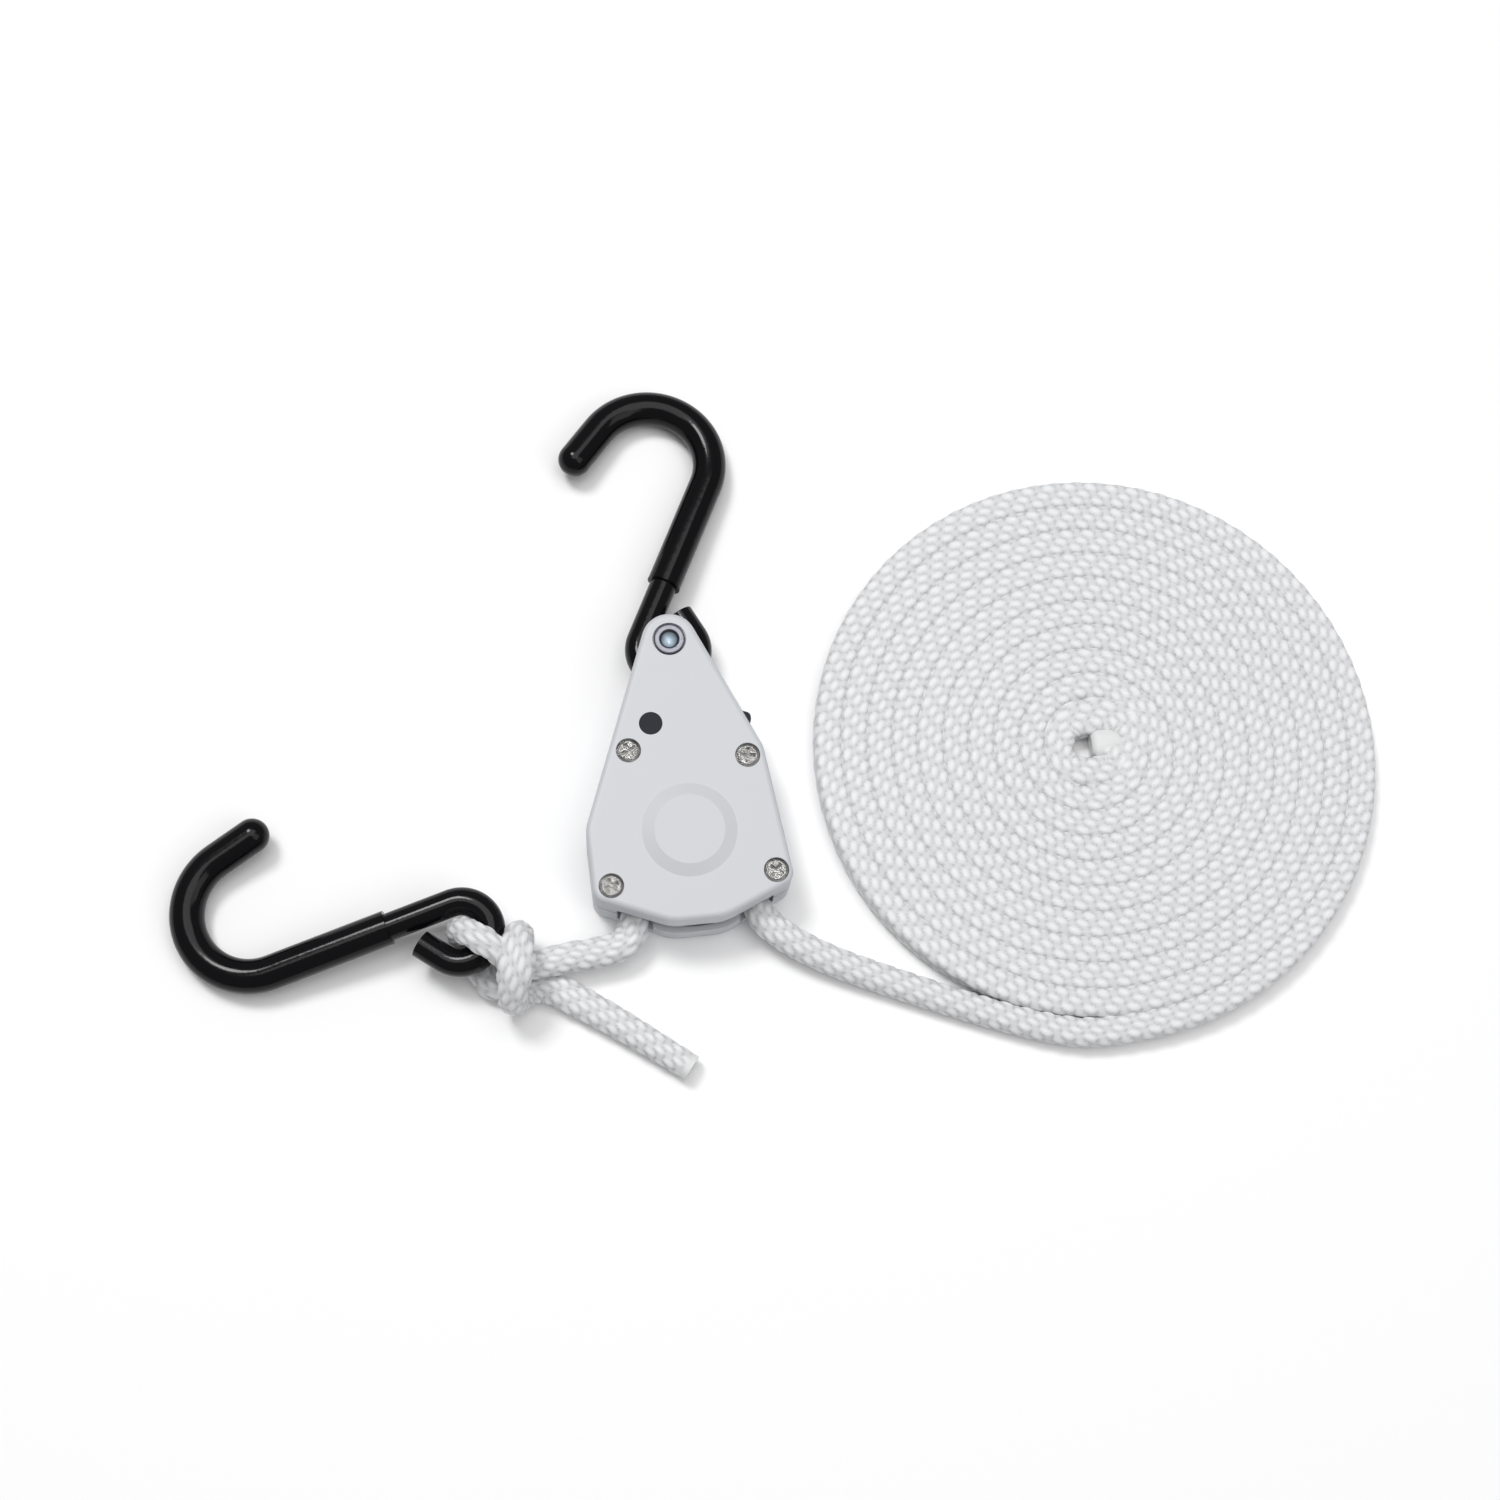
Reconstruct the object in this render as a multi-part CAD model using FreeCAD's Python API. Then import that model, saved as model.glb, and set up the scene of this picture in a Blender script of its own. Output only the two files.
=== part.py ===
import FreeCAD, Part
import math
import os

# Rope ratchet hanger lying on its flat back: two moulded covers, a rope wheel with a ratchet
# ring, a release pawl, two identical S-hooks and one braided rope that ends in a flat coil.
# Millimetres. +Z is up, +Y runs from the wheel axle to the hook rivet.
# The origin is on the flat back face, under the wheel axle.

V = FreeCAD.Vector

# ---------------------------------------------------------------- driving dimensions
case_t = 17.6            # thickness of the closed case
wall = 1.9               # moulded wall thickness
wheel_r = 15.4           # rope wheel and ratchet teeth
ear_r = 6.3              # radius of the ear round the rivet
case_half_w = wheel_r + 7.2        # half width of the case at the wheel
case_low_y = -wheel_r + 1.95       # lower corners
case_bottom_y = -wheel_r - 5.8     # lowest edge
edge_round_front = 1.3
edge_round_back = 0.8
lip_step, lip_t = 0.8, 1.2   # the back cover's lip stands out below the front cover
dome_r, dome_flat_r, dome_h = 11.8, 7.9, 1.0

rope_d = 6.2             # section of the rope
rope_plane_z = 7.3       # height of the rope in the wheel groove
pitch_r = wheel_r - rope_d / 2.0 - 0.7   # rope centreline round the wheel
axle_r = 2.5
sleeve_r = 2.9           # spacer sleeve on the hook rivet

rod_d = 6.35             # hook wire
coat_t = 0.78            # dipped vinyl on the hook
eye_r = sleeve_r + 0.825 + rod_d / 2.0   # centreline radius of the hook eye
bowl_r = 14.5            # centreline radius of the hook bowl
shank_eye, shank_bowl = 14.8, 27.7   # from the vinyl edge to the eye and bowl centres

coil_r = 68.2            # outer radius of the coil where the rope joins it
coil_pitch = 5.8
coil_h = 6.5
coil_x, coil_y = 95.2, 13.0
coil_join_deg = -96.0

run_gap = 0.3            # moving part to fixed part
fit_gap = 0.06           # radial running fit
seat_gap = 0.02          # radial gap of pressed or screwed parts

screw_xy = [
    (-case_half_w + 4.0, case_low_y + 2.45), (case_half_w - 4.3, case_low_y + 2.45),
    (case_half_w - 7.8, wheel_r + 0.5), (-case_half_w + 10.8, wheel_r + 4.1),
]
screw_head_r, screw_head_h, screw_r = 2.75, 1.8, 1.45
pawl_x, pawl_y = -6.2, wheel_r + 9.9
cross_lo_y = pawl_y + 5.35         # wall that closes the case below the hook's eye
cross_hi_y = cross_lo_y + 1.5
rivet_y = cross_hi_y + eye_r + rod_d / 2.0 + 2.475   # the eye's cut end sweeps past the wall

mid_z = case_t / 2.0
ear_gap = rod_d + 2.05
ear_lo, ear_hi = mid_z - ear_gap / 2.0, mid_z + ear_gap / 2.0
in_lo, in_hi = wall, case_t - wall
wheel_lo, wheel_hi = in_lo + 0.3 + run_gap, in_hi - 0.3 - run_gap
ring_t = 3.0
ring_lo = wheel_hi - ring_t
pawl_lo, pawl_hi = ring_lo + 0.4, wheel_hi

OUT = {}


# ---------------------------------------------------------------- helpers
def cyl(r, z0, z1, x=0.0, y=0.0):
    """Upright cylinder between two heights."""
    return Part.makeCylinder(r, z1 - z0, V(x, y, z0))


def box(x0, x1, y0, y1, z0, z1):
    """Box from its limits."""
    return Part.makeBox(x1 - x0, y1 - y0, z1 - z0, V(x0, y0, z0))


def ring(r_in, r_out, z0, z1, x=0.0, y=0.0):
    """Upright tube between two heights."""
    return cyl(r_out, z0, z1, x, y).cut(cyl(r_in, z0 - 1, z1 + 1, x, y))


def unit(a):
    """Unit vector of a."""
    b = V(a)
    b.normalize()
    return b


def rounded(points, radii, closed=True):
    """Wire of straight runs joined by tangent arcs, one radius for each corner."""
    n = len(points)
    ends = []
    for i in range(n):
        p = points[i]
        if not closed and i in (0, n - 1):
            ends.append((p, None, p))
            continue
        a = unit(points[i - 1] - p)
        b = unit(points[(i + 1) % n] - p)
        half = a.getAngle(b) / 2.0
        t = radii[i] / math.tan(half)
        centre = p + unit(a + b) * (radii[i] / math.sin(half))
        mid = centre + unit(p - centre) * radii[i]
        ends.append((p + a * t, mid, p + b * t))
    edges = []
    last = n if closed else n - 1
    for i in range(n):
        s, m, e = ends[i]
        if m is not None:
            edges.append(Part.Arc(s, m, e).toShape())
        if i < last:
            q = ends[(i + 1) % n][0]
            if e.distanceToPoint(q) > 1e-6:
                edges.append(Part.LineSegment(e, q).toShape())
    return Part.Wire(edges)


def plate(wire_points, radii, z0, z1):
    """Flat plate with rounded corners between two heights."""
    pts = [V(x, y, z0) for x, y in wire_points]
    return Part.Face(rounded(pts, radii)).extrude(V(0, 0, z1 - z0))


def inset(points, d):
    """Counter-clockwise polygon moved inwards by d."""
    n = len(points)
    lines = []
    for i in range(n):
        ax, ay = points[i]
        bx, by = points[(i + 1) % n]
        k = math.hypot(bx - ax, by - ay)
        ux, uy = (bx - ax) / k, (by - ay) / k
        lines.append((ax - uy * d, ay + ux * d, ux, uy))
    out = []
    for i in range(n):
        x1, y1, a1, b1 = lines[i - 1]
        x2, y2, a2, b2 = lines[i]
        t = ((x2 - x1) * b2 - (y2 - y1) * a2) / (a1 * b2 - b1 * a2)
        out.append((x1 + a1 * t, y1 + b1 * t))
    return out


def tangent_corner(px, py, side):
    """Where the tangent from a low corner to the ear circle meets the top line of the ear."""
    dx, dy = px, py - rivet_y
    d = math.hypot(dx, dy)
    a = math.atan2(dy, dx) + side * math.acos(ear_r / d)
    tx, ty = ear_r * math.cos(a), rivet_y + ear_r * math.sin(a)
    top = rivet_y + ear_r
    s = (top - ty) / (ty - py)
    return (tx + (tx - px) * s, top)


def tube(points, d, radii=None):
    """Round rope or wire along straight runs with tangent arcs."""
    n = len(points)
    if radii is None:
        radii = [0.0] * n
        for i in range(1, n - 1):
            a, b = points[i] - points[i - 1], points[i + 1] - points[i]
            short = min(a.Length, b.Length)
            radii[i] = 0.45 * short / math.tan(a.getAngle(b) / 2.0)
    wire = rounded(points, radii, closed=False)
    first = points[1] - points[0]
    mouth = Part.Wire(Part.makeCircle(d / 2.0, points[0], first))
    body = wire.makePipeShell([mouth], True, True)
    return body, wire, radii[1:-1]


def only(shape):
    """The single solid of a result."""
    assert len(shape.Solids) == 1, len(shape.Solids)
    return shape.Solids[0]


# ---------------------------------------------------------------- case outline
left_x, right_x = -case_half_w - 0.5, case_half_w - 0.3
shoulder_l, shoulder_r = (left_x, 2.6), (case_half_w - 4.0, wheel_r + 2.6)
outline = [
    (-case_half_w - 0.2, case_low_y), (-6.0, case_bottom_y), (6.0, case_bottom_y),
    (right_x, case_low_y), shoulder_r,
    tangent_corner(shoulder_r[0], shoulder_r[1], 1),
    tangent_corner(shoulder_l[0], shoulder_l[1], -1),
    shoulder_l,
]
outline_r = [3.2, 11.0, 11.0, 3.2, 7.0, ear_r, ear_r, 9.0]
inner = inset(outline, wall)
inner_r = [1.6, 9.5, 9.5, 1.6, 5.0, ear_r - wall, ear_r - wall, 7.0]
front_outline = [(x, max(y, case_bottom_y + lip_step)) for x, y in outline]
front_inner = inset(front_outline, wall)


def case_half(edge, pocket_edge, z0, z1, skin_z, round_r, round_z):
    """Outer block of one cover with its rounded rim and the moulded pocket."""
    block = plate(edge, outline_r, z0, z1)
    rim = [e for e in block.Edges if all(abs(v.Z - round_z) < 1e-6 for v in e.Vertexes)]
    block = block.makeFillet(round_r, rim)
    pocket = plate(pocket_edge, inner_r, z0 - 1, z1 + 1)
    pocket = pocket.common(box(-40, 40, -40, cross_lo_y, skin_z[0], skin_z[1]))
    ear_slot = box(-40, 40, cross_hi_y, 80, ear_lo, ear_hi)
    return block.cut(pocket).cut(ear_slot)


def exits(z0, z1):
    """The two rope mouths in the lower wall."""
    a = box(exit_l.x - 4.3, exit_l.x + 3.5, case_bottom_y - 5, mouth_y, z0, z1)
    b = box(exit_r.x - 3.5, exit_r.x + 4.4, case_bottom_y - 5, mouth_y, z0, z1)
    return a.fuse(b)


# ---------------------------------------------------------------- covers
exit_l = V(-pitch_r - 1.8, -wheel_r - 0.5, rope_plane_z)
exit_r = V(pitch_r + 1.6, -wheel_r - 0.9, rope_plane_z)
mouth_y = -wheel_r + 2.2
rope_lo, rope_hi = rope_plane_z - rope_d / 2.0 - 0.4, rope_plane_z + rope_d / 2.0 + 0.4

back = case_half(outline, inner, 0.0, mid_z, (in_lo, mid_z + 1), edge_round_back, 0.0)
for x, y in screw_xy:
    back = back.fuse(cyl(2.4, in_lo - 0.5, mid_z, x, y))
back = back.fuse(cyl(3.6, in_lo - 0.5, in_lo + 2.2, pawl_x, pawl_y))
for x, y in screw_xy:
    back = back.cut(cyl(screw_r + seat_gap, 2.6, mid_z + 1, x, y))
back = back.cut(cyl(2.0 + fit_gap, 0.9, mid_z, pawl_x, pawl_y))
back = back.cut(cyl(axle_r + seat_gap, 0.7, mid_z))
back = back.cut(cyl(2.0 + seat_gap, -1, mid_z, 0, rivet_y))
back = back.cut(cyl(3.9, -1, 0.95, 0, rivet_y))
back = back.cut(exits(rope_lo, mid_z + 1))
between = box(exit_l.x, exit_r.x, case_bottom_y - 5, mouth_y, 0, case_t)
back = back.cut(between.common(cyl(50, rope_plane_z, mid_z + 1)))
back = back.cut(between.common(cyl(-case_bottom_y - lip_t, wall, mid_z + 1)))
OUT["back_cover"] = only(back.removeSplitter())

front = case_half(front_outline, front_inner, mid_z, case_t, (mid_z - 1, in_hi), edge_round_front, case_t)
dome = Part.makeCone(dome_r, dome_flat_r, dome_h + 0.4, V(0, 0, case_t - 0.4))
front = front.fuse(dome)
for x, y in screw_xy:
    boss = cyl(2.4, mid_z, in_hi, x, y).fuse(cyl(3.4, in_hi - 0.7, in_hi + 0.5, x, y))
    front = front.fuse(boss.common(plate(outline, outline_r, mid_z, case_t)))
for x, y in screw_xy:
    front = front.cut(cyl(screw_r + 0.15, mid_z - 1, case_t + 1, x, y))
    front = front.cut(cyl(screw_head_r + 0.08, case_t - screw_head_h, case_t + 1, x, y))
front = front.cut(cyl(2.6 + fit_gap, mid_z - 1, case_t + 1, pawl_x, pawl_y))
front = front.cut(cyl(axle_r + seat_gap, mid_z - 1, case_t - 0.2))
front = front.cut(cyl(2.0 + seat_gap, mid_z - 1, case_t + 1, 0, rivet_y))
front = front.cut(cyl(3.85, case_t - 0.7, case_t + 1, 0, rivet_y))
slit_hi = max(mid_z, rope_hi) + 0.5
front = front.cut(box(exit_l.x, exit_r.x, case_bottom_y - 5, mouth_y, mid_z - 1, slit_hi))
front = front.cut(exits(mid_z - 1, slit_hi))
nub_slot = box(case_half_w - 11.6, case_half_w + 5, pawl_y - 2.9, cross_lo_y - 0.2,
               pawl_lo - run_gap, in_hi)
front = front.cut(nub_slot)
OUT["front_cover"] = only(front.removeSplitter())

# ---------------------------------------------------------------- fasteners and pins
screws = []
for i, (x, y) in enumerate(screw_xy):
    head = cyl(screw_head_r, case_t - screw_head_h, case_t - 0.55, x, y)
    cap = Part.makeCone(screw_head_r, screw_head_r - 0.65, 0.6, V(x, y, case_t - 0.55))
    stem = cyl(screw_r, 3.1, case_t - screw_head_h, x, y)
    tip = Part.makeCone(0.5, screw_r, 1.0, V(x, y, 2.62)).common(cyl(3, 2.6, 3.1 + 1e-3, x, y))
    screw = head.fuse(cap).fuse(stem).fuse(tip)
    cross = box(-1.75, 1.75, -0.45, 0.45, case_t - 1.2, case_t + 1)
    cross = cross.fuse(box(-0.45, 0.45, -1.75, 1.75, case_t - 1.2, case_t + 1))
    cross.rotate(V(0, 0, 0), V(0, 0, 1), 20.0 + 31.0 * i)
    cross.translate(V(x, y, 0))
    screws.append(only(screw.cut(cross).removeSplitter()))
OUT["cover_screws"] = Part.makeCompound(screws)

rivet = cyl(3.55, case_t - 0.7, case_t + 0.1, 0, rivet_y)
rivet = rivet.fuse(cyl(2.0, 0.3, case_t - 0.5, 0, rivet_y))
rivet = rivet.fuse(cyl(3.5, 0.15, 0.95, 0, rivet_y))
rivet = rivet.cut(Part.makeCone(0.2, 2.35, 2.3, V(0, rivet_y, case_t - 2.2)))
rivet = rivet.cut(cyl(1.25, 0.0, 4.0, 0, rivet_y))
OUT["hook_rivet"] = only(rivet.removeSplitter())
OUT["rivet_sleeve"] = ring(2.0 + seat_gap, sleeve_r, ear_lo, ear_hi, 0, rivet_y)

OUT["wheel_axle"] = cyl(axle_r, 0.7, case_t - 0.2)
OUT["axle_washers"] = Part.makeCompound([
    ring(axle_r + seat_gap, 4.6, in_lo, in_lo + 0.3),
    ring(axle_r + seat_gap, 4.6, in_hi - 0.3, in_hi)])

# ---------------------------------------------------------------- wheel
rim_half, root_half = rope_d / 2.0 + 0.62, rope_d / 2.0 - 0.18
groove_lo, groove_hi = rope_plane_z - rim_half, rope_plane_z + rim_half
root_lo, root_hi = rope_plane_z - root_half, rope_plane_z + root_half
root_r = pitch_r - rope_d / 2.0 - run_gap
hub_r, bush_r = 6.4, 3.7
profile = [
    V(bush_r, 0, wheel_lo), V(wheel_r, 0, wheel_lo), V(wheel_r, 0, groove_lo),
    V(root_r, 0, root_lo), V(root_r, 0, root_hi), V(wheel_r, 0, groove_hi),
    V(wheel_r, 0, ring_lo), V(hub_r, 0, ring_lo), V(hub_r, 0, wheel_hi), V(bush_r, 0, wheel_hi),
]
wheel = Part.Face(Part.makePolygon(profile + [profile[0]])).revolve(V(0, 0, 0), V(0, 0, 1), 360)
n_grip = 14
for k in range(n_grip):
    a = math.radians(360.0 * k / n_grip)
    gx, gy = (root_r + 0.5) * math.cos(a), (root_r + 0.5) * math.sin(a)
    wheel = wheel.cut(cyl(1.05, root_lo + 0.01, root_hi - 0.01, gx, gy))
OUT["rope_wheel"] = only(wheel)
OUT["wheel_bush"] = ring(axle_r + fit_gap, bush_r, wheel_lo, wheel_hi)

n_teeth, tooth_root_r = 16, wheel_r - 2.1
teeth = []
for k in range(n_teeth):
    a = 2 * math.pi * k / n_teeth
    teeth.append(V(wheel_r * math.cos(a), wheel_r * math.sin(a), ring_lo))
    teeth.append(V(tooth_root_r * math.cos(a), tooth_root_r * math.sin(a), ring_lo))
rack = Part.Face(Part.makePolygon(teeth + [teeth[0]])).extrude(V(0, 0, ring_t))
OUT["ratchet_ring"] = only(rack.cut(cyl(hub_r, ring_lo - 1, wheel_hi + 1)))

# ---------------------------------------------------------------- pawl and its spring
nub_x = case_half_w - 5.9
pawl_pts = [
    (-6.4, pawl_y - 3.9), (0.6, pawl_y - 3.9), (3.4, wheel_r + 0.5), (5.3, wheel_r + 0.2),
    (nub_x - 8.5, pawl_y - 2.9), (nub_x - 1.9, pawl_y - 1.8), (nub_x, pawl_y - 1.2), (nub_x, pawl_y + 1.0),
    (nub_x - 1.9, pawl_y + 1.7), (nub_x - 11.1, pawl_y + 3.3), (-6.4, pawl_y + 3.9),
]
arm = plate(pawl_pts, [0.4, 1.2, 0.35, 0.35, 1.5, 1.5, 1.25, 1.25, 1.2, 4.0, 0.4], pawl_lo, pawl_hi)
pawl = arm.fuse(cyl(4.0, pawl_lo, pawl_hi, pawl_x, pawl_y))
pawl = pawl.fuse(cyl(2.6, pawl_hi - 0.5, case_t - 0.15, pawl_x, pawl_y))
pawl = pawl.fuse(cyl(2.0, 1.0, pawl_lo + 0.5, pawl_x, pawl_y))
pawl = pawl.cut(cyl(wheel_r + 0.35, pawl_lo - 1, pawl_hi + 1))
OUT["pawl_lever"] = only(pawl.removeSplitter())

spring_r, wire_d, turns, spring_lo = 3.05, 0.6, 4.0, 5.0
spring_pitch = 0.95
helix = Part.makeHelix(spring_pitch, spring_pitch * turns, spring_r)
helix.translate(V(pawl_x, pawl_y, spring_lo))
slope = spring_pitch / (2 * math.pi * spring_r)
start = V(pawl_x + spring_r, pawl_y, spring_lo)
stop = V(pawl_x + spring_r, pawl_y, spring_lo + spring_pitch * turns)
step = unit(V(0, 1, slope))
leg_a = Part.LineSegment(start - step * 6.5, start).toShape()
leg_b = Part.LineSegment(stop, stop + step * 3.6).toShape()
spine = Part.Wire([leg_a] + helix.Edges + [leg_b])
mouth = Part.Wire(Part.makeCircle(wire_d / 2.0, start - step * 6.5, step))
OUT["pawl_spring"] = only(spine.makePipeShell([mouth], True, True))

# ---------------------------------------------------------------- hooks
# Flat local frame: x along the shank towards the bowl, origin on the eye centre.
rod_r = rod_d / 2.0
coat_r = rod_r + coat_t
bowl_x, bowl_y = shank_eye + shank_bowl, eye_r + bowl_r
lift = math.radians(14.5)
tail_dir = V(math.cos(math.radians(53)), math.sin(math.radians(53)), 0)
tail_turn = math.radians(323)


def bowl_path(x_from):
    """Centreline from a point of the shank round the bowl to the tip."""
    c = V(bowl_x, bowl_y, 0)
    low, side = c + V(0, -bowl_r, 0), c + V(bowl_r, 0, 0)
    end_a = math.pi / 2 - lift
    end = c + V(bowl_r * math.cos(end_a), bowl_r * math.sin(end_a), 0)
    mid_a = end_a / 2
    mid = c + V(bowl_r * math.cos(mid_a), bowl_r * math.sin(mid_a), 0)
    q = c + V(bowl_r * math.cos(-math.pi / 4), bowl_r * math.sin(-math.pi / 4), 0)
    tip = end + V(-math.cos(lift), math.sin(lift), 0) * 9.6
    return [Part.LineSegment(V(x_from, eye_r, 0), low).toShape(), Part.Arc(low, q, side).toShape(),
            Part.Arc(side, mid, end).toShape(), Part.LineSegment(end, tip).toShape()], tip


def hook_rod():
    """Bare wire: eye, shank, bowl and tip."""
    def on(a):
        return V(eye_r * math.cos(a), eye_r * math.sin(a), 0)
    end = on(tail_turn)
    cut_end = end + tail_dir * 6.2
    eye = [Part.LineSegment(cut_end, end).toShape(),
           Part.Arc(end, on(math.radians(250)), on(math.pi)).toShape(),
           Part.Arc(on(math.pi), on(math.radians(135)), on(math.pi / 2)).toShape()]
    run, tip = bowl_path(0.0)
    wire = Part.Wire(eye + run)
    mouth_w = Part.Wire(Part.makeCircle(rod_r, cut_end, tail_dir))
    return only(wire.makePipeShell([mouth_w], True, True)), tip


def hook_coat():
    """Vinyl skin over the bowl half of the wire with a rounded end."""
    run, tip = bowl_path(shank_eye)
    wire = Part.Wire(run)
    mouth_w = Part.Wire(Part.makeCircle(coat_r, V(shank_eye, eye_r, 0), V(1, 0, 0)))
    skin = only(wire.makePipeShell([mouth_w], True, True))
    cap = Part.makeSphere(coat_r, tip)
    return skin.fuse(cap)


def placed_hook(flip, heading, x, y, z, reach_z):
    """Lay a hook with its eye at a point, the bowl end lowered until it meets the floor."""
    rod, tip = hook_rod()
    coat = only(hook_coat().cut(rod).removeSplitter())
    reach = bowl_x + bowl_r
    drop = math.degrees(math.asin((z - reach_z) / reach))
    parts = []
    for s in (rod, coat):
        if flip:
            s.rotate(V(0, 0, 0), V(1, 0, 0), 180)
        s.rotate(V(0, 0, 0), V(0, 1, 0), drop)
        s.rotate(V(0, 0, 0), V(0, 0, 1), heading)
        s.translate(V(x, y, z))
        parts.append(s)
    return parts


floor_z = coat_r + 0.1
up_rod, up_coat = placed_hook(False, 63.0, 0, rivet_y, mid_z, floor_z)
OUT["upper_hook_rod"], OUT["upper_hook_sleeve"] = up_rod, up_coat

loop_x, loop_y = -52.8, -16.6
loop_gap = 0.75          # slack of the loop round the wire, so the hook can swing
loop_r = rod_r + loop_gap + rope_d / 2.0
loop_z = rope_d / 2.0 + 0.05 + loop_r
low_deg = -165.4
low_rod, low_coat = placed_hook(True, low_deg, loop_x, loop_y, loop_z, floor_z)
OUT["lower_hook_rod"], OUT["lower_hook_sleeve"] = low_rod, low_coat

# ---------------------------------------------------------------- rope
lie_z = rope_d / 2.0 + 0.05


def touch(px, py, side):
    """Tangent point on the pitch circle seen from an exit."""
    d = math.hypot(px, py)
    a = math.atan2(py, px) + side * math.acos(pitch_r / d)
    return V(pitch_r * math.cos(a), pitch_r * math.sin(a), rope_plane_z)


t_l, t_r = touch(exit_l.x, exit_l.y, -1), touch(exit_r.x, exit_r.y, 1)
top = V(0, pitch_r, rope_plane_z)
over = Part.Wire([Part.LineSegment(exit_l, t_l).toShape(), Part.Arc(t_l, top, t_r).toShape(),
                  Part.LineSegment(t_r, exit_r).toShape()])
over_mouth = Part.Wire(Part.makeCircle(rope_d / 2.0 - 0.1, exit_l, t_l - exit_l))
OUT["rope_over_wheel"] = only(over.makePipeShell([over_mouth], True, True))
lengths = {"rope_over_wheel": over.Length}

join_a = math.radians(coil_join_deg)
axis_v = V(math.cos(join_a), math.sin(join_a), 0)
coil_c = V(coil_x, coil_y, 0)
join = coil_c + axis_v * (coil_r - coil_pitch / 2.0) + V(0, 0, lie_z)

free_pts = [exit_r, exit_r + V(3.4, -5.9, -1.0), V(27.6, -29.6, 4.3), V(43.6, -36.9, lie_z),
            V(61.0, -44.6, lie_z), V(76.6, -50.6, lie_z), join]
free, free_wire, free_radii = tube(free_pts, rope_d)
OUT["rope_free"] = only(free)
lengths["rope_free"] = free_wire.Length
print("rope_free bend radii", [round(r, 1) for r in free_radii])

knot_a, knot_w, knot_l, knot_h = math.radians(-38.0), 4.6, 9.4, 9.6
away = V(math.cos(knot_a), math.sin(knot_a), 0)
knot_c = V(loop_x, loop_y, knot_h + 0.1) + away * (eye_r + rod_r + knot_w + 1.25)
lead_pts = [exit_l, exit_l + V(-2.3, -6.4, -0.9), V(-23.4, -23.8, 6.0), V(-30.2, -24.0, 6.8),
            V(-37.6, -25.6, 7.6)]
lead, lead_wire, lead_radii = tube(lead_pts, rope_d)
OUT["rope_lead"] = only(lead)
lengths["rope_lead"] = lead_wire.Length
print("rope_lead bend radii", [round(r, 1) for r in lead_radii])

tail_pts = [V(-38.4, -28.2, 4.4), V(-29.0, -33.0, lie_z + 0.1), V(-17.6, -41.4, lie_z),
            V(-4.8, -50.8, lie_z)]
tail, tail_wire, tail_radii = tube(tail_pts, rope_d)
slant = Part.makeBox(20, 20, 20, V(0, -10, -5))
slant.rotate(V(0, 0, 0), V(0, 0, 1), -52.0)
slant.translate(V(-4.8, -50.8, 0) + V(-1.2, 0.9, 0))
OUT["rope_tail"] = only(tail.cut(slant))
lengths["rope_tail"] = tail_wire.Length
print("rope_tail bend radii", [round(r, 1) for r in tail_radii])

# Knot: the loop round the hook eye and the crossing wrap that locks it.
head = V(math.cos(math.radians(low_deg)), math.sin(math.radians(low_deg)), 0)
rise = -away.dot(head) * eye_r * (loop_z - floor_z) / (bowl_x + bowl_r)
eye_c = V(loop_x, loop_y, loop_z + rise) + away * eye_r


def on_loop(a):
    """Point of the loop round the wire, a = 0 towards the knot."""
    return eye_c + away * (loop_r * math.cos(a)) + V(0, 0, loop_r * math.sin(a))


a_top = math.radians(66)
up_end = on_loop(a_top) + (away * math.sin(a_top) - V(0, 0, math.cos(a_top))) * 6.4
low_end = on_loop(-math.pi / 2) + away * 8.6
loop = Part.Wire([
    Part.LineSegment(up_end, on_loop(a_top)).toShape(),
    Part.Arc(on_loop(a_top), on_loop(math.radians(120)), on_loop(math.pi)).toShape(),
    Part.Arc(on_loop(math.pi), on_loop(math.radians(225)), on_loop(-math.pi / 2)).toShape(),
    Part.LineSegment(on_loop(-math.pi / 2), low_end).toShape()])
loop_mouth = Part.Wire(Part.makeCircle(rope_d / 2.0 - 0.02, up_end, on_loop(a_top) - up_end))
loop_body = only(loop.makePipeShell([loop_mouth], True, True))
lengths["loop"] = loop.Length
egg = Part.makeSphere(1.0)
scale = FreeCAD.Matrix()
scale.scale(knot_w, knot_l, knot_h)
egg = egg.transformGeometry(scale)
egg.rotate(V(0, 0, 0), V(0, 0, 1), -7.0)
egg.translate(knot_c)
OUT["rope_knot"] = only(loop_body.fuse(egg))

# Coil: one disc with a spiral outline, its step face meets the free rope.
half = coil_pitch / 4.0
p0 = coil_c + axis_v * coil_r
p1 = coil_c - axis_v * (coil_r - coil_pitch / 2.0)
p2 = coil_c + axis_v * (coil_r - coil_pitch)
side_v = V(-axis_v.y, axis_v.x, 0)
m1 = coil_c + axis_v * half + side_v * (coil_r - half)
m2 = coil_c - axis_v * half - side_v * (coil_r - 3 * half)
disc = Part.Wire([Part.Arc(p0, m1, p1).toShape(), Part.Arc(p1, m2, p2).toShape(),
                  Part.LineSegment(p2, p0).toShape()])
coil = Part.Face(disc).extrude(V(0, 0, coil_h))
rims = [e for e in coil.Edges if e.Length > 50 and
        (all(abs(v.Z - coil_h) < 1e-6 for v in e.Vertexes) or all(abs(v.Z) < 1e-6 for v in e.Vertexes))]
coil = coil.makeFillet(1.6, rims)
coil = coil.cut(cyl(2.3, -1, coil_h + 1, coil_x - 1.8, coil_y + 1.2))
coil.translate(V(0, 0, 0.02))
OUT["rope_coil"] = only(coil)

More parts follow.
